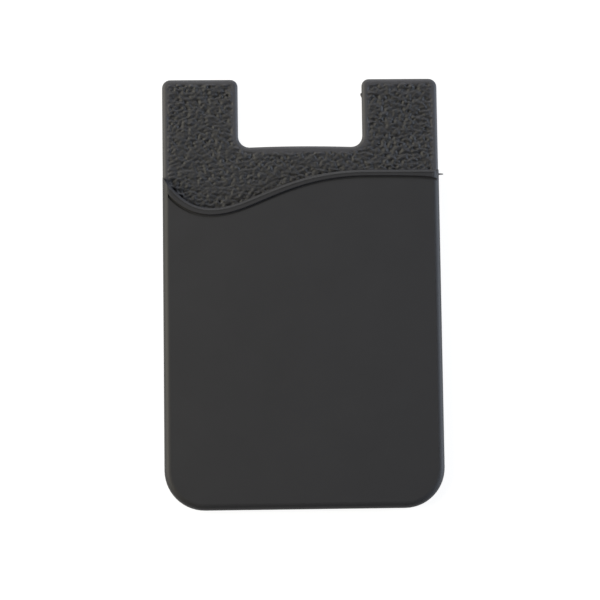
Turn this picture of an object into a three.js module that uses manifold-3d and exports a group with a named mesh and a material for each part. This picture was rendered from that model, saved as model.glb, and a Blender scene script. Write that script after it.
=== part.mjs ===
// Stick-on card holder for the back of a phone: one black silicone moulding with a pocket for bank
// cards, an adhesive sheet in a shallow recess on its back, and the liner that covers the adhesive.
// Millimetres. X runs across it, Y along it towards the finger notch, Z out of its front. It lies on
// its back with the liner on Z = 0, and the origin is under the middle of its outline.

import * as THREE from 'three';
import { mergeVertices } from 'three/addons/utils/BufferGeometryUtils.js';
import Module from 'manifold-3d';

// Outline of the back plate, with two ears beside the finger notch
const width = 56.5;
const length = 88;
const bottomRadius = 8.15;
const earOuterRadius = 1.7;
const earInnerRadius = 1.5;
const notchWidth = 25.5;
const notchDepth = 14.1;
const notchFootRadius = 2.3;
const notchCrown = 0.2;

// Layers, from the table upwards
const linerThickness = 0.12;
const adhesiveThickness = 0.28;
const recessDepth = 0.25;
const plateThickness = 1.1;
const pocketGap = 0.9;
const frontThickness = 0.85;
const beadRise = 0.3;

// Pocket walls, and the rounding of the outer edges
const sideWall = 1.05;
const floorWall = 1.2;
const backEdgeRadius = 0.25;
const plateEdgeWidth = 0.85;
const plateEdgeDrop = 0.75;
const frontEdgeRadius = 1.35;
const beadEdgeRadius = 1.6;

// The S-shaped lip: where its crease runs, below the notch's floor and in from the two sides
const lipLeftDrop = 8.55;
const lipTroughDrop = 14.47;
const lipTroughInset = 9.78;
const lipShelfDrop = 6.66;
const lipShelfInset = 14.73;
const creaseEndDrop = 0.8;
const creaseLeftInset = 1.15;

// The lip's section, from the crease up to the mouth's edge
const creaseWidth = 0.44;
const creaseDepth = 0.27;
const beadFootRadius = 0.15;
const lipWidthLeft = 1.8;
const lipWidthRight = 1.5;
const lipEndNarrowing = 0.7;
const lipEndReach = 5.2;
const noseWidthLeft = 0.68;
const noseWidthRight = 0.84;
const noseDrop = 0.75;
const partingWidth = 0.18;
const partingDepth = 0.05;

// What the mould left: a thread of flash at the lip's right end and a burr on the right ear
const flashLength = 0.9;
const flashRoot = 0.32;
const flashThickness = 0.2;
const burrHeight = 0.25;
const burrLength = 1;
const burrThickness = 0.5;
const burrFromTop = 3.2;

// The adhesive sheet and its liner
const sheetMargin = 3;
const sheetClearance = 0.3;

// Levels that follow from the layers
const recessFloor = linerThickness + adhesiveThickness;
const backFace = recessFloor - recessDepth;
const plateTop = backFace + plateThickness;
const pocketTop = plateTop + pocketGap;
const frontTop = pocketTop + frontThickness;
const beadTop = frontTop + beadRise;
const notchFloor = length / 2 - notchDepth;

// How far a cutter runs past what it cuts, how deep a joined piece sinks in, and the finest radius
const overrun = 5;
const bite = 0.3;
const leastRadius = 0.05;

const cornerSteps = 14;
const smallCornerSteps = 6;
const edgeSteps = 8;
const crownSteps = 8;
const lipSteps = 72;

const wasm = await Module();
wasm.setup();

function solidFrom(geometry) {
  geometry.deleteAttribute('normal');
  geometry.deleteAttribute('uv');
  const merged = mergeVertices(geometry);
  const mesh = new wasm.Mesh({
    numProp: 3,
    vertProperties: new Float32Array(merged.attributes.position.array),
    triVerts: new Uint32Array(merged.index.array),
  });
  return new wasm.Manifold(mesh);
}

function geometryFrom(solid) {
  const mesh = solid.getMesh();
  const geometry = new THREE.BufferGeometry();
  geometry.setAttribute('position', new THREE.BufferAttribute(mesh.vertProperties, 3));
  geometry.setIndex(new THREE.BufferAttribute(mesh.triVerts, 1));
  geometry.computeVertexNormals();
  return geometry;
}

// A closed body through level rings. outline(inset) gives every ring the same number of points,
// counter-clockwise, and each level is a height and an inset, from the bottom up.
function loft(outline, levels) {
  const rings = levels.map(([height, inset]) =>
    outline(inset).map((point) => new THREE.Vector3(point.x, point.y, height)));
  const count = rings[0].length;
  const index = [];
  for (let level = 1; level < rings.length; level++) {
    for (let i = 0; i < count; i++) {
      const a = (level - 1) * count + i;
      const b = (level - 1) * count + (i + 1) % count;
      index.push(a, b, b + count, a, b + count, a + count);
    }
  }
  const last = (rings.length - 1) * count;
  for (const [a, b, c] of THREE.ShapeUtils.triangulateShape(outline(levels[0][1]), [])) {
    index.push(c, b, a);
  }
  for (const [a, b, c] of THREE.ShapeUtils.triangulateShape(outline(levels.at(-1)[1]), [])) {
    index.push(last + a, last + b, last + c);
  }
  const geometry = new THREE.BufferGeometry().setFromPoints(rings.flat());
  geometry.setIndex(index);
  return geometry;
}

// Levels of a front edge that is rounded over the given inset and drop below its top
function roundedTop(top, inset, drop) {
  const levels = [];
  for (let i = 0; i <= edgeSteps; i++) {
    const angle = (i / edgeSteps) * Math.PI / 2;
    levels.push([top - drop + drop * Math.sin(angle), inset * (1 - Math.cos(angle))]);
  }
  return levels;
}

function arc(x, y, radius, startDegrees, endDegrees, steps) {
  const points = [];
  for (let i = 0; i <= steps; i++) {
    const angle = THREE.MathUtils.degToRad(startDegrees + (endDegrees - startDegrees) * i / steps);
    points.push(new THREE.Vector2(x + radius * Math.cos(angle), y + radius * Math.sin(angle)));
  }
  return points;
}

// The back plate's outline: round bottom corners, two ears, and a notch with a slightly crowned floor
function plateOutline(inset) {
  const side = width / 2 - inset;
  const end = length / 2 - inset;
  const notchSide = notchWidth / 2 + inset;
  const floor = notchFloor - inset;
  const corner = Math.max(bottomRadius - inset, leastRadius);
  const outer = Math.max(earOuterRadius - inset, leastRadius);
  const inner = Math.max(earInnerRadius - inset, leastRadius);
  const foot = notchFootRadius + inset;
  const crown = new THREE.QuadraticBezierCurve(
    new THREE.Vector2(notchSide - foot, floor),
    new THREE.Vector2(0, floor + 2 * notchCrown),
    new THREE.Vector2(foot - notchSide, floor),
  );
  return [
    ...arc(side - corner, corner - end, corner, -90, 0, cornerSteps),
    ...arc(side - outer, end - outer, outer, 0, 90, smallCornerSteps),
    ...arc(notchSide + inner, end - inner, inner, 90, 180, smallCornerSteps),
    ...arc(notchSide - foot, floor + foot, foot, 0, -90, smallCornerSteps),
    ...crown.getPoints(crownSteps).slice(1, -1),
    ...arc(foot - notchSide, floor + foot, foot, -90, -180, smallCornerSteps),
    ...arc(-notchSide - inner, end - inner, inner, 0, 90, smallCornerSteps),
    ...arc(outer - side, end - outer, outer, 90, 180, smallCornerSteps),
    ...arc(corner - side, corner - end, corner, 180, 270, cornerSteps),
  ];
}

// The pocket's outline, up to the notch's floor. Its mouth is cut along the lip.
function pocketOutline(sideInset, floorInset) {
  const side = width / 2 - sideInset;
  const end = length / 2 - floorInset;
  const corner = Math.max(bottomRadius - sideInset, leastRadius);
  return [
    ...arc(side - corner, corner - end, corner, -90, 0, cornerSteps),
    new THREE.Vector2(side, notchFloor),
    new THREE.Vector2(-side, notchFloor),
    ...arc(corner - side, corner - end, corner, 180, 270, cornerSteps),
  ];
}

// The crease's course: down the left side, through the trough, and up to the shelf on the right
function lipCourse(endDrop) {
  const left = new THREE.Vector2(-width / 2, notchFloor - lipLeftDrop);
  const trough = new THREE.Vector2(-width / 2 + lipTroughInset, notchFloor - lipTroughDrop);
  const shelf = new THREE.Vector2(width / 2 - lipShelfInset, notchFloor - lipShelfDrop);
  const right = new THREE.Vector2(width / 2, shelf.y - endDrop);
  const entry = new THREE.Vector2(
    left.x + 0.173 * lipTroughInset,
    left.y - 0.512 * (lipTroughDrop - lipLeftDrop),
  );
  const rise = shelf.x - trough.x;
  const before = left.clone().add(left.clone().sub(entry).setLength(overrun));
  const course = new THREE.CurvePath();
  course.add(new THREE.LineCurve(before, left));
  course.add(new THREE.CubicBezierCurve(
    left, entry, new THREE.Vector2(trough.x - 0.46 * lipTroughInset, trough.y), trough));
  course.add(new THREE.CubicBezierCurve(
    trough,
    new THREE.Vector2(trough.x + 0.275 * rise, trough.y),
    new THREE.Vector2(shelf.x - 0.528 * rise, shelf.y),
    shelf));
  course.add(new THREE.CubicBezierCurve(
    shelf,
    new THREE.Vector2(shelf.x + 0.543 * lipShelfInset, shelf.y),
    new THREE.Vector2(right.x - 0.068 * lipShelfInset, right.y + 0.8 * endDrop),
    right));
  course.add(new THREE.LineCurve(right, new THREE.Vector2(right.x + overrun, right.y - endDrop)));
  return course;
}

// Points along a course, moved to its upper side by a distance that may change from left to right
function beside(course, distance) {
  const points = [];
  for (let i = 0; i <= lipSteps; i++) {
    const t = i / lipSteps;
    const tangent = course.getTangent(t);
    const normal = new THREE.Vector2(-tangent.y, tangent.x);
    points.push(course.getPoint(t).addScaledVector(normal, distance(t)));
  }
  return points;
}

const crease = lipCourse(creaseEndDrop);
const lip = lipCourse(0);
const lipLength = lip.getLength();
const noseWidthAt = (t) => THREE.MathUtils.lerp(noseWidthLeft, noseWidthRight, t);

// The lip's width, from the trough to the right end, and narrower where it runs out at the left side
function lipWidthAt(t) {
  const endShare = THREE.MathUtils.smoothstep(t * lipLength, overrun / 2, overrun / 2 + lipEndReach);
  return THREE.MathUtils.lerp(lipWidthLeft, lipWidthRight, t) - lipEndNarrowing * (1 - endShare);
}

// All that lies below the mouth's edge, drawn back by a share of the nose's width
function belowMouth(share) {
  const edge = beside(lip, (t) => lipWidthAt(t) - share * noseWidthAt(t)).reverse();
  const low = -length / 2 - overrun;
  return [...edge, new THREE.Vector2(edge.at(-1).x, low), new THREE.Vector2(edge[0].x, low)];
}

// All that lies above the crease, as far as the holder reaches
function aboveCrease(inset) {
  const edge = beside(crease, () => creaseWidth / 2 + inset);
  const high = length / 2;
  return [...edge, new THREE.Vector2(edge.at(-1).x, high), new THREE.Vector2(edge[0].x, high)];
}

// A groove's plan: a strip of the given width whose middle runs beside a course
function groovePlan(course, distance, grooveWidth) {
  return [
    ...beside(course, (t) => distance(t) - grooveWidth / 2),
    ...beside(course, (t) => distance(t) + grooveWidth / 2).reverse(),
  ];
}

function groove(plan, floor) {
  return solidFrom(loft(() => plan, [[floor, 0], [beadTop + overrun, 0]]));
}

function backPlate() {
  const levels = [
    [backFace, backEdgeRadius],
    [backFace + backEdgeRadius * 0.3, backEdgeRadius * 0.3],
    [backFace + backEdgeRadius, 0],
    ...roundedTop(plateTop, plateEdgeWidth, plateEdgeDrop),
  ];
  return solidFrom(loft(plateOutline, levels));
}

// The pocket's front and side walls, with the raised bead between the crease and the mouth
function pocketShell() {
  const outline = (inset) => pocketOutline(inset, inset);
  const base = [backFace + backEdgeRadius, 0];
  const front = solidFrom(loft(outline, [base, ...roundedTop(frontTop, frontEdgeRadius, frontEdgeRadius)]));
  const tall = solidFrom(loft(outline, [base, ...roundedTop(beadTop, beadEdgeRadius, beadEdgeRadius)]));
  const beadSide = solidFrom(loft(aboveCrease, [
    [backFace, 0],
    [beadTop - beadFootRadius, 0],
    [beadTop - beadFootRadius * 0.3, beadFootRadius * 0.3],
    [beadTop, beadFootRadius],
  ]));
  const mouth = solidFrom(loft(belowMouth, [[backFace, 0], ...roundedTop(beadTop, 1, noseDrop)]));
  return front.add(tall.intersect(beadSide)).intersect(mouth);
}

function cardSpace() {
  const plan = pocketOutline(sideWall, floorWall);
  return solidFrom(loft(() => plan, [[plateTop, 0], [pocketTop, 0]]));
}

function sheetOutline(inset) {
  const side = width / 2 - sheetMargin - inset;
  const low = -length / 2 + sheetMargin + inset;
  const high = notchFloor - sheetMargin - inset;
  const corner = Math.max(bottomRadius - sheetMargin - inset, leastRadius);
  return [
    ...arc(side - corner, low + corner, corner, -90, 0, smallCornerSteps),
    ...arc(side - corner, high - corner, corner, 0, 90, smallCornerSteps),
    ...arc(corner - side, high - corner, corner, 90, 180, smallCornerSteps),
    ...arc(corner - side, low + corner, corner, 180, 270, smallCornerSteps),
  ];
}

function recess() {
  const levels = [[backFace - overrun, -sheetClearance], [recessFloor, -sheetClearance]];
  return solidFrom(loft(sheetOutline, levels));
}

// A thread of flash that the mould's parting line left at the lip's right end
function flash() {
  const y = notchFloor - lipShelfDrop + lipWidthRight - noseWidthRight;
  const edge = width / 2;
  const plan = [
    new THREE.Vector2(edge - bite, y - flashRoot / 2),
    new THREE.Vector2(edge, y - flashRoot / 2),
    new THREE.Vector2(edge + flashLength, y - flashRoot / 4),
    new THREE.Vector2(edge + flashLength, y + flashRoot / 4),
    new THREE.Vector2(edge, y + flashRoot / 2),
    new THREE.Vector2(edge - bite, y + flashRoot / 2),
  ];
  const middle = (plateTop + pocketTop) / 2;
  return solidFrom(loft(() => plan, [[middle, 0], [middle + flashThickness, 0]]));
}

// A small burr on the right ear's edge beside the notch
function burr() {
  const edge = notchWidth / 2;
  const y = length / 2 - burrFromTop;
  const plan = [
    new THREE.Vector2(edge - burrHeight, y - burrHeight / 2),
    new THREE.Vector2(edge, y - burrLength * 0.7),
    new THREE.Vector2(edge + bite, y - burrLength * 0.7),
    new THREE.Vector2(edge + bite, y + burrLength * 0.3),
    new THREE.Vector2(edge, y + burrLength * 0.3),
    new THREE.Vector2(edge - burrHeight, y + burrHeight / 2),
  ];
  const low = backFace + backEdgeRadius;
  return solidFrom(loft(() => plan, [[low, 0], [low + Math.min(burrThickness, plateThickness / 2), 0]]));
}

function siliconeSleeve() {
  const creaseCut = groove(groovePlan(crease, () => 0, creaseWidth), frontTop - creaseDepth)
    .trimByPlane([1, 0, 0], creaseLeftInset - width / 2);
  const partingLine = (t) => lipWidthAt(t) - noseWidthAt(t);
  const partingCut = groove(groovePlan(lip, partingLine, partingWidth), beadTop - partingDepth);
  const sleeve = backPlate()
    .add(pocketShell())
    .subtract(cardSpace())
    .subtract(creaseCut)
    .subtract(partingCut)
    .subtract(recess())
    .add(flash())
    .add(burr());
  const material = new THREE.MeshStandardMaterial({ color: 0x383839, roughness: 0.65, metalness: 0 });
  const mesh = new THREE.Mesh(geometryFrom(sleeve), material);
  mesh.name = 'silicone_sleeve';
  return mesh;
}

function sheet(name, height, thickness, color, roughness) {
  const geometry = loft(sheetOutline, [[0, 0], [thickness, 0]]);
  geometry.computeVertexNormals();
  const mesh = new THREE.Mesh(geometry, new THREE.MeshStandardMaterial({ color, roughness, metalness: 0 }));
  mesh.name = name;
  mesh.position.z = height;
  return mesh;
}

const holder = new THREE.Group();
holder.add(siliconeSleeve());
holder.add(sheet('adhesive_sheet', linerThickness, adhesiveThickness, 0xd8d8d4, 0.4));
holder.add(sheet('release_liner', 0, linerThickness, 0xe9e4d6, 0.6));

export default holder;
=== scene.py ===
"""A stick-on card holder for a phone, moulded in matte black silicone with a grained back plate."""

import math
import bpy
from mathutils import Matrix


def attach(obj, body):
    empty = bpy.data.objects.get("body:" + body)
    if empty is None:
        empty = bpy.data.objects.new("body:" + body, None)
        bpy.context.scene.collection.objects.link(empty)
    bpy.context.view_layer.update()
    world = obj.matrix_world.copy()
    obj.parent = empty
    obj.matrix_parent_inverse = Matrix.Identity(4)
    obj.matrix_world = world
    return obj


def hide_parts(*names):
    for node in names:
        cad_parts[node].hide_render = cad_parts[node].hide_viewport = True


bl_info = {
    "name": "Stick-on Card Holder",
    "version": (1, 0, 0),
    "blender": (4, 5, 0),
    "location": "View3D > Sidebar > Card Holder",
    "description": "Dresses a moulded silicone card holder, its adhesive sheet and liner, and lights it",
    "category": "Object",
}

import bmesh
import bpy
import numpy as np
from mathutils import Matrix, Vector
from mathutils.bvhtree import BVHTree
from mathutils.geometry import delaunay_2d_cdt

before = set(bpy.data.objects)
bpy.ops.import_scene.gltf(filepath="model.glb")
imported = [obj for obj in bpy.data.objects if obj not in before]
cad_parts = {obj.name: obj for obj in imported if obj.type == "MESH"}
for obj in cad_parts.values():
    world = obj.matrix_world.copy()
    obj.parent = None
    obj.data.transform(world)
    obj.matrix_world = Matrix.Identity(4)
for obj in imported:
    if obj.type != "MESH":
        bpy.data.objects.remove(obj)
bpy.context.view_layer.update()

SLEEVE = "silicone_sleeve"
ADHESIVE = "adhesive_sheet"
LINER = "release_liner"
MM = 0.001

# The photograph's view: its frame, and how the camera stands over the holder's outline
IMAGE_SIZE = 600
FOCAL_PIXELS = 2000
CAMERA_DISTANCE = 406.95 * MM
CAMERA_TILT = (-5.602, 2.138, 0.559)
CAMERA_SHIFT = (0.49 * MM, 1.64 * MM)
OUTLINE_LEVEL = 1.0 * MM
SENSOR_WIDTH = 36

# The floor: how white it looks, how much light it spreads, and what keeps it out of the liner's plane
FLOOR_SIZE = 6
FLOOR_GLOW = 0.89
FLOOR_REFLECTANCE = 0.25
FLOOR_GAP = 0.05 * MM

# Each lamp's name, place, size, power and colour, and the even light from all round
LAMPS = (
    ("left_lamp", (-0.54, 0.08, 0.33), (0.5, 0.44), 4.4, (1.0, 0.955, 0.8)),
    ("right_lamp", (0.6, 0.05, 0.16), (0.5, 0.22), 3.7, (0.76, 0.86, 1.0)),
    ("back_lamp", (0.0, 0.64, 0.24), (0.6, 0.2), 2.1, (0.97, 0.98, 1.0)),
)
WORLD_LIGHT = 0.1

# The attribute for the painted highlight that makes the silicone paler: 1 on the plate's rounded edge and
# on its back by the notch
PAINTED_HIGHLIGHT = "painted_highlight_rim"

# Where the mouth's edge is looked for, how far the grain runs on beneath the lip, and the outline's step
LIP_SEARCH = (5 * MM, 29.5 * MM)
SIDE_INSET = 1.2 * MM
HIDDEN_GRAIN = 2.0 * MM
HIDDEN_MARGIN = 0.6 * MM
RIM_STEP = 0.3 * MM

# The grain's make-up: its creases, its fine wrinkles and its uneven strength
CREASE_START = 0.15
CREASE_SHARE = 0.5
WRINKLE_SCALE = 2.1
WRINKLE_SHARE = 0.2
PATCH_SIZE = 2.4 * MM
PATCH_SHARE = 0.25
SPOT_SHARE = 0.35

# Where the grain is moulded deeper than elsewhere: the middle and the reach of each spot
DEEP_SPOTS = ((24 * MM, 29 * MM, 8 * MM), (-19 * MM, 41 * MM, 6 * MM), (22 * MM, 41 * MM, 4 * MM))


class HolderSettings(bpy.types.PropertyGroup):
    """Sizes and colours of the holder's finish."""

    grain_width: bpy.props.FloatProperty(
        name="Grain width", description="Spacing of the grain's noise across the holder",
        default=0.62 * MM, min=0.3 * MM, max=4 * MM, unit="LENGTH", precision=5)
    grain_length: bpy.props.FloatProperty(
        name="Grain length", description="Spacing of the grain's noise along the holder",
        default=0.44 * MM, min=0.3 * MM, max=4 * MM, unit="LENGTH", precision=5)
    grain_height: bpy.props.FloatProperty(
        name="Grain height", description="Height that one layer of the grain's noise reaches",
        default=0.09 * MM, min=0, max=0.4 * MM, unit="LENGTH", precision=5)
    grain_step: bpy.props.FloatProperty(
        name="Grain step", description="Distance between the grained surface's points",
        default=0.145 * MM, min=0.08 * MM, max=1 * MM, unit="LENGTH", precision=5)
    # Painted highlight: width of the paler band inside the plate's rounded edge
    painted_highlight_rim: bpy.props.FloatProperty(
        name="Painted highlight rim", description="Width of the paler band inside the plate's rounded edge",
        default=1.1 * MM, min=0.1 * MM, max=3 * MM, unit="LENGTH", precision=5)
    smooth_rim: bpy.props.FloatProperty(
        name="Smooth rim", description="Width over which the grain rises from the plate's rounded edge",
        default=0.5 * MM, min=0.05 * MM, max=2 * MM, unit="LENGTH", precision=5)
    silicone_color: bpy.props.FloatVectorProperty(
        name="Silicone colour", description="Colour of the moulded silicone",
        default=(0.0228, 0.0224, 0.0256), min=0, max=1, subtype="COLOR")
    liner_color: bpy.props.FloatVectorProperty(
        name="Liner colour", description="Colour of the release paper",
        default=(0.80, 0.76, 0.67), min=0, max=1, subtype="COLOR")
    adhesive_color: bpy.props.FloatVectorProperty(
        name="Adhesive colour", description="Colour of the adhesive sheet",
        default=(0.72, 0.72, 0.70), min=0, max=1, subtype="COLOR")


class Wire:
    """A node's output socket that Python arithmetic works on."""

    def __init__(self, recipe, socket):
        self.recipe = recipe
        self.socket = socket

    def _math(self, operation, first, second):
        return self.recipe.node("ShaderNodeMath", {"operation": operation}, {0: first, 1: second})

    def __add__(self, other):
        return self._math("ADD", self, other)

    def __radd__(self, other):
        return self._math("ADD", other, self)

    def __mul__(self, other):
        return self._math("MULTIPLY", self, other)


class Recipe:
    """A material's node tree with one shader, built from expressions."""

    def __init__(self, name, **uniform):
        self.material = bpy.data.materials.new(name)
        self.material.use_nodes = True
        self.tree = self.material.node_tree
        self.tree.nodes.clear()
        self.output = self.tree.nodes.new("ShaderNodeOutputMaterial")
        self.shader = self.tree.nodes.new("ShaderNodeBsdfPrincipled")
        self.tree.links.new(self.shader.outputs[0], self.output.inputs["Surface"])
        for socket, value in uniform.items():
            self.feed(socket.replace("_", " "), value)
        self.place = self.node("ShaderNodeTexCoord", output="Object")

    def node(self, kind, settings=None, inputs=None, output=0):
        made = self.tree.nodes.new(kind)
        for name, value in (settings or {}).items():
            setattr(made, name, value)
        for key, value in (inputs or {}).items():
            if isinstance(value, Wire):
                self.tree.links.new(value.socket, made.inputs[key])
            else:
                made.inputs[key].default_value = value
        return Wire(self, made.outputs[output])

    def feed(self, socket, value):
        target = self.shader.inputs[socket]
        if isinstance(value, Wire):
            self.tree.links.new(value.socket, target)
        else:
            target.default_value = value

    def noise(self, size, detail=2, roughness=0.5):
        inputs = {"Vector": self.place, "Scale": 1 / size, "Detail": detail, "Roughness": roughness}
        return self.node("ShaderNodeTexNoise", None, inputs, "Fac")

    def blend(self, factor, first, second):
        made = self.tree.nodes.new("ShaderNodeMix")
        made.data_type = "RGBA"
        colors = [socket for socket in made.inputs if socket.type == "RGBA"]
        self.tree.links.new(factor.socket, made.inputs["Factor"])
        colors[0].default_value = (*first, 1)
        colors[1].default_value = (*second, 1)
        return Wire(self, [socket for socket in made.outputs if socket.type == "RGBA"][0])

    def bump(self, height, depth):
        inputs = {"Height": height, "Distance": depth, "Strength": 1.0}
        return self.node("ShaderNodeBump", None, inputs)


def shade(color, factor):
    return tuple(min(1.0, channel * factor) for channel in color)


def silicone_material(settings):
    recipe = Recipe("matte_silicone", Specular_IOR_Level=0.5)
    cloud = recipe.noise(9 * MM, detail=4, roughness=0.6)
    fine = recipe.noise(0.22 * MM, detail=3, roughness=0.7)
    # Painted highlight: the rim attribute lifts the silicone's colour up to 2.3 times on the plate's
    # rounded edge and back
    rim = recipe.node("ShaderNodeAttribute", {"attribute_name": PAINTED_HIGHLIGHT}, None, "Fac")
    dark, pale = shade(settings.silicone_color, 0.92), shade(settings.silicone_color, 2.3)
    recipe.feed("Base Color", recipe.blend(cloud * 0.12 + rim * 0.88, dark, pale))
    recipe.feed("Roughness", 0.5 + cloud * 0.06 + fine * 0.12)
    recipe.feed("Normal", recipe.bump(fine, 0.006 * MM))
    return recipe.material


def liner_material(settings):
    recipe = Recipe("release_paper", Specular_IOR_Level=0.45)
    pulp = recipe.noise(1.6 * MM, detail=5, roughness=0.65)
    fibre = recipe.noise(0.3 * MM, detail=3, roughness=0.6)
    color = settings.liner_color
    recipe.feed("Base Color", recipe.blend(pulp, shade(color, 0.93), shade(color, 1.05)))
    recipe.feed("Roughness", 0.42 + pulp * 0.14)
    recipe.feed("Normal", recipe.bump(fibre, 0.01 * MM))
    return recipe.material


def adhesive_material(settings):
    recipe = Recipe("foam_adhesive", Specular_IOR_Level=0.4)
    cells = recipe.noise(0.12 * MM, detail=2, roughness=0.5)
    color = settings.adhesive_color
    recipe.feed("Base Color", recipe.blend(cells, shade(color, 0.86), shade(color, 1.06)))
    recipe.feed("Roughness", 0.5 + cells * 0.2)
    recipe.feed("Normal", recipe.bump(cells, 0.02 * MM))
    return recipe.material


def give_material(piece, material):
    piece.data.materials.clear()
    piece.data.materials.append(material)


def smoothstep(low, high, value):
    t = np.clip((value - low) / (high - low), 0, 1)
    return t * t * (3 - 2 * t)


class Lattice:
    """Smooth seeded noise over the plane, about -1 to 1, with one knot for each unit."""

    SIZE = 64

    def __init__(self, seed):
        self.knots = np.random.default_rng(seed).uniform(-1, 1, (self.SIZE, self.SIZE))

    def __call__(self, u, v):
        iu, iv = np.floor(u).astype(int), np.floor(v).astype(int)
        fu, fv = u - iu, v - iv
        fu, fv = fu * fu * (3 - 2 * fu), fv * fv * (3 - 2 * fv)
        knots, size = self.knots, self.SIZE
        low = knots[iv % size, iu % size] * (1 - fu) + knots[iv % size, (iu + 1) % size] * fu
        above = (iv + 1) % size
        high = knots[above, iu % size] * (1 - fu) + knots[above, (iu + 1) % size] * fu
        return low * (1 - fv) + high * fv


def layered(u, v, seed):
    """Smooth noise from three turned layers, so that no rows or columns show."""
    total = np.zeros(u.shape)
    for number, turn in enumerate((0.3, 1.4, 2.5)):
        along, across = math.cos(turn), math.sin(turn)
        layer = Lattice(seed + number)
        total += layer(u * along - v * across + 17 * number, u * across + v * along + 9 * number)
    return total


class LipLine:
    """The mouth's edge seen from above, found by feeling down onto the moulding."""

    SAMPLES = 400

    def __init__(self, tree, plate_top, side, low, high):
        self.x = np.linspace(-side, side, self.SAMPLES)
        self.y = np.array([self.edge(tree, plate_top, x, low, high) for x in self.x])

    @staticmethod
    def edge(tree, plate_top, x, low, high):
        for _ in range(18):
            middle = (low + high) / 2
            hit = tree.ray_cast(Vector((x, middle, 1)), Vector((0, 0, -1)))[0]
            covered = hit is not None and hit.z > plate_top + 0.5 * MM
            low, high = (middle, high) if covered else (low, middle)
        return low

    def __call__(self, x):
        return np.interp(x, self.x, self.y)


def grain(x, y, settings):
    """Height of the moulded leather grain over the back plate, in layers of noise."""
    u = x / settings.grain_width
    v = y / settings.grain_length
    body = layered(u, v, 41)
    crease = np.clip(-CREASE_START - body, 0, None)
    wrinkle = layered(u * WRINKLE_SCALE + 5, v * WRINKLE_SCALE + 3, 51)
    strength = 1 + PATCH_SHARE * Lattice(61)(x / PATCH_SIZE, y / PATCH_SIZE)
    for spot_x, spot_y, reach in DEEP_SPOTS:
        strength += SPOT_SHARE * np.exp(-((x - spot_x) ** 2 + (y - spot_y) ** 2) / reach ** 2)
    return (body - CREASE_SHARE * crease) * strength + WRINKLE_SHARE * wrinkle


def distance_to_outline(points, outline):
    """Distance of each point in the plane from a closed outline."""
    start = outline
    step = np.roll(outline, -1, axis=0) - start
    length = (step ** 2).sum(1)
    nearest = np.full(len(points), np.inf)
    for a, d, l2 in zip(start, step, length):
        t = np.clip(((points - a) @ d) / max(l2, 1e-18), 0, 1)
        nearest = np.minimum(nearest, np.hypot(*(points - a - t[:, None] * d).T))
    return nearest


def inside_outline(points, outline):
    """Which points in the plane lie within a closed outline."""
    inside = np.zeros(len(points), bool)
    x, y = points.T
    for (x1, y1), (x2, y2) in zip(outline, np.roll(outline, -1, axis=0)):
        crosses = (y1 > y) != (y2 > y)
        if y1 != y2:
            inside ^= crosses & (x < (x2 - x1) * (y - y1) / (y2 - y1) + x1)
    return inside


def merged_copy(node, name):
    """A piece with the node's own shape, with its doubles merged and its flat faces whole."""
    piece = bpy.data.objects.new(name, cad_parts[node].data.copy())
    bpy.context.scene.collection.objects.link(piece)
    bpy.ops.object.select_all(action="DESELECT")
    piece.select_set(True)
    bpy.context.view_layer.objects.active = piece
    bpy.ops.object.mode_set(mode="EDIT")
    bpy.ops.mesh.select_all(action="SELECT")
    bpy.ops.mesh.remove_doubles(threshold=0.5e-6)
    bpy.ops.mesh.dissolve_limited(angle_limit=math.radians(0.3))
    bpy.ops.object.mode_set(mode="OBJECT")
    return piece


def plate_face(mesh):
    """The back plate's front face: the lowest of the large faces that look up."""
    wide = [f for f in mesh.faces if f.normal.z > 0.999 and f.calc_area() > (20 * MM) ** 2]
    return min(wide, key=lambda f: f.calc_center_median().z)


def split_long_edges(mesh, face, longest, above_y):
    for edge in list(face.edges):
        ends = [v.co for v in edge.verts]
        length = (ends[0] - ends[1]).length
        if length > longest and max(p.y for p in ends) > above_y:
            bmesh.ops.subdivide_edges(mesh, edges=[edge], cuts=int(length / longest))


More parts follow.
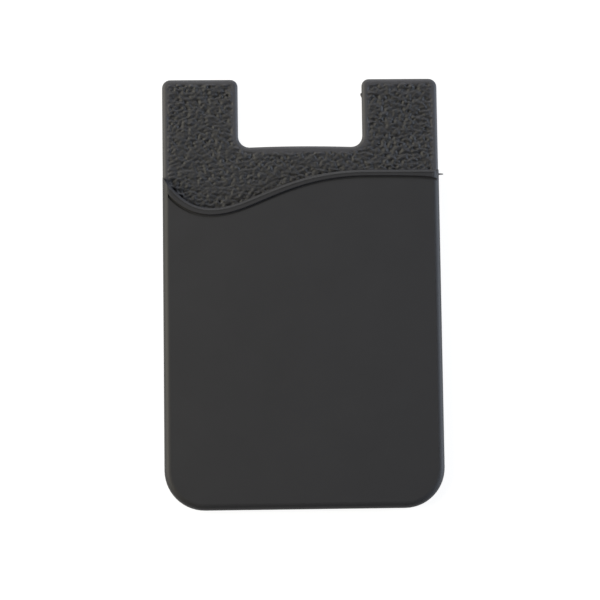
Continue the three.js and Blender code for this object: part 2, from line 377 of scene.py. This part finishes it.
def grain_plate(piece, settings):
    """Fills the back plate's front face with a fine surface and raises the grain on it."""
    mesh = bmesh.new()
    mesh.from_mesh(piece.data)
    # Per-point attribute that carries the painted highlight
    highlight_layer = mesh.verts.layers.float.new(PAINTED_HIGHLIGHT)
    tree = BVHTree.FromBMesh(mesh)
    face = plate_face(mesh)
    plate_top = face.calc_center_median().z
    side = -min(v.co.x for v in mesh.verts) - SIDE_INSET
    lip = LipLine(tree, plate_top, side, *LIP_SEARCH)
    cut_y = lip.y.min() - HIDDEN_GRAIN - HIDDEN_MARGIN
    bmesh.ops.bisect_plane(
        mesh, geom=[face, *face.edges, *face.verts], plane_co=(0, cut_y, 0), plane_no=(0, 1, 0))
    mesh.faces.ensure_lookup_table()
    parts = [f for f in mesh.faces if f.normal.z > 0.999]
    parts = [f for f in parts if abs(f.calc_center_median().z - plate_top) < 1e-6]
    face = max(parts, key=lambda f: f.calc_center_median().y)
    split_long_edges(mesh, face, RIM_STEP, cut_y + 0.01 * MM)
    rim = [loop.vert for loop in face.loops]
    outline = np.array([v.co.xy for v in rim])
    step = settings.grain_step
    low, high = outline.min(0), outline.max(0)
    rows = np.arange(low[1], high[1], step * math.sqrt(3) / 2)
    grid = []
    for number, y in enumerate(rows):
        x = np.arange(low[0], high[0], step) + (number % 2) * step / 2
        grid.append(np.stack([x, np.full(len(x), y)], 1))
    grid = np.concatenate(grid)
    grid = grid[inside_outline(grid, outline)]
    above = grid[:, 1] - lip(grid[:, 0])
    grid = grid[above > -HIDDEN_GRAIN]
    margin = distance_to_outline(grid, outline)
    grid, margin = grid[margin > 0.6 * step], margin[margin > 0.6 * step]
    above = grid[:, 1] - lip(grid[:, 0])
    mask = smoothstep(0.0, settings.smooth_rim, margin - 0.05 * MM)
    mask *= smoothstep(-1.6 * MM, -0.6 * MM, above)
    height = grain(grid[:, 0], grid[:, 1], settings) * mask
    flat = [Vector(p) for p in np.concatenate([outline, grid])]
    border = [(i, (i + 1) % len(rim)) for i in range(len(rim))]
    made = delaunay_2d_cdt(flat, border, [], 0, 1e-9, True)
    # Painted highlight: points of the plate's edge and back above the lip get the full paler colour
    for vert in mesh.verts:
        on_rim = vert.co.z < plate_top + 0.01 * MM and vert.co.y > lip(vert.co.x) - 0.5 * MM
        vert[highlight_layer] = float(on_rim)
    # Painted highlight on the grained points, fading inward from the plate's outline over the rim width
    highlight_band = 1 - smoothstep(0, settings.painted_highlight_rim, margin)
    new_verts = {}
    for index, sources in enumerate(made[3]):
        source = min(sources)
        if source < len(rim):
            new_verts[index] = rim[source]
        else:
            x, y = made[0][index]
            z = plate_top + settings.grain_height * height[source - len(rim)]
            new_verts[index] = mesh.verts.new((x, y, z))
            new_verts[index][highlight_layer] = highlight_band[source - len(rim)]
    bmesh.ops.delete(mesh, geom=[face], context="FACES_ONLY")
    corners = np.array(made[2])
    middles = np.array([p[:] for p in made[0]])[corners].mean(1)
    for triangle in corners[inside_outline(middles, outline)]:
        mesh.faces.new([new_verts[i] for i in triangle])
    mesh.normal_update()
    mesh.to_mesh(piece.data)
    mesh.free()


def finish_shading(piece, angle):
    bpy.ops.object.select_all(action="DESELECT")
    piece.select_set(True)
    bpy.context.view_layer.objects.active = piece
    bpy.ops.object.shade_smooth_by_angle(angle=math.radians(angle))
    bpy.ops.object.modifier_add(type="WEIGHTED_NORMAL")
    modifier = piece.modifiers[-1]
    modifier.keep_sharp = True
    bpy.ops.object.modifier_apply(modifier=modifier.name)


class HOLDER_OT_sleeve(bpy.types.Operator):
    """Dress the silicone moulding, with the grain on its back plate."""

    bl_idname = "holder.sleeve"
    bl_label = "Silicone Sleeve"

    def execute(self, context):
        settings = context.scene.holder
        piece = merged_copy(SLEEVE, "grained_sleeve")
        grain_plate(piece, settings)
        finish_shading(piece, 26)
        give_material(piece, silicone_material(settings))
        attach(piece, "root")
        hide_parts(SLEEVE)
        return {"FINISHED"}


class HOLDER_OT_backing(bpy.types.Operator):
    """Finish the adhesive sheet and the liner over it."""

    bl_idname = "holder.backing"
    bl_label = "Adhesive and Liner"

    def execute(self, context):
        settings = context.scene.holder
        give_material(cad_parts[ADHESIVE], adhesive_material(settings))
        give_material(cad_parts[LINER], liner_material(settings))
        return {"FINISHED"}


def pale_surface(name, glow, reflectance):
    """A surface that the camera and reflections see as near white, and that spreads less light."""
    recipe = Recipe(name, Roughness=0.9, Specular_IOR_Level=0.2)
    recipe.feed("Base Color", (reflectance, reflectance, reflectance, 1))
    path = recipe.tree.nodes.new("ShaderNodeLightPath")
    seen = Wire(recipe, path.outputs["Is Camera Ray"]) + Wire(recipe, path.outputs["Is Glossy Ray"])
    seen = seen + Wire(recipe, path.outputs["Is Transmission Ray"])
    recipe.feed("Emission Color", (1, 1, 1, 1))
    recipe.feed("Emission Strength", seen * glow)
    return recipe.material


def add_lamp(name, place, size, power, color):
    bpy.ops.object.light_add(type="AREA", location=place)
    lamp = bpy.context.object
    lamp.name = name
    lamp.data.shape = "RECTANGLE"
    lamp.data.size, lamp.data.size_y = size
    lamp.data.energy = power
    lamp.data.color = color
    lamp.rotation_euler = Vector(place).to_track_quat("Z", "Y").to_euler()


def add_camera():
    tilt_x, tilt_y, roll = (math.radians(angle) for angle in CAMERA_TILT)
    turn = Matrix.Rotation(roll, 3, "Z") @ Matrix.Rotation(tilt_y, 3, "Y") @ Matrix.Rotation(tilt_x, 3, "X")
    back = turn.transposed()
    place = back @ Vector((-CAMERA_SHIFT[0], -CAMERA_SHIFT[1], CAMERA_DISTANCE))
    data = bpy.data.cameras.new("photo_camera")
    data.sensor_width = SENSOR_WIDTH
    data.lens = SENSOR_WIDTH * FOCAL_PIXELS / IMAGE_SIZE
    data.clip_start = 10 * MM
    camera = bpy.data.objects.new("photo_camera", data)
    bpy.context.scene.collection.objects.link(camera)
    camera.matrix_world = Matrix.Translation(place + Vector((0, 0, OUTLINE_LEVEL))) @ back.to_4x4()
    bpy.context.scene.camera = camera


def set_world():
    world = bpy.data.worlds.new("studio")
    bpy.context.scene.world = world
    world.use_nodes = True
    tree = world.node_tree
    tree.nodes.clear()
    background = tree.nodes.new("ShaderNodeBackground")
    output = tree.nodes.new("ShaderNodeOutputWorld")
    path = tree.nodes.new("ShaderNodeLightPath")
    choose = tree.nodes.new("ShaderNodeMix")
    tree.links.new(path.outputs["Is Camera Ray"], choose.inputs["Factor"])
    choose.inputs["A"].default_value = WORLD_LIGHT
    choose.inputs["B"].default_value = 1.0
    background.inputs["Color"].default_value = (1, 1, 1, 1)
    tree.links.new(choose.outputs["Result"], background.inputs["Strength"])
    tree.links.new(background.outputs[0], output.inputs["Surface"])


class HOLDER_OT_stage(bpy.types.Operator):
    """Set the pale floor, the studio lamps and the camera."""

    bl_idname = "holder.stage"
    bl_label = "Floor, Lamps and Camera"

    def execute(self, context):
        bpy.ops.object.select_all(action="DESELECT")
        bpy.ops.mesh.primitive_plane_add(size=FLOOR_SIZE, location=(0, 0, -FLOOR_GAP))
        floor = context.object
        floor.name = "floor"
        give_material(floor, pale_surface("pale_floor", FLOOR_GLOW, FLOOR_REFLECTANCE))
        for lamp in LAMPS:
            add_lamp(*lamp)
        add_camera()
        set_world()
        context.scene.view_settings.view_transform = "Standard"
        return {"FINISHED"}


class HOLDER_PT_panel(bpy.types.Panel):
    """The holder's pieces and settings."""

    bl_label = "Card Holder"
    bl_idname = "HOLDER_PT_panel"
    bl_space_type = "VIEW_3D"
    bl_region_type = "UI"
    bl_category = "Card Holder"

    def draw(self, context):
        for name in HolderSettings.__annotations__:
            self.layout.prop(context.scene.holder, name)
        for operator in OPERATORS:
            self.layout.operator(operator.bl_idname)


OPERATORS = (HOLDER_OT_stage, HOLDER_OT_sleeve, HOLDER_OT_backing)
CLASSES = (HolderSettings, *OPERATORS, HOLDER_PT_panel)


def register():
    for cls in CLASSES:
        bpy.utils.register_class(cls)
    bpy.types.Scene.holder = bpy.props.PointerProperty(type=HolderSettings)


def unregister():
    del bpy.types.Scene.holder
    for cls in reversed(CLASSES):
        bpy.utils.unregister_class(cls)


def main():
    register()
    bpy.ops.holder.stage()
    bpy.ops.holder.sleeve()
    bpy.ops.holder.backing()


if __name__ == "__main__":
    main()
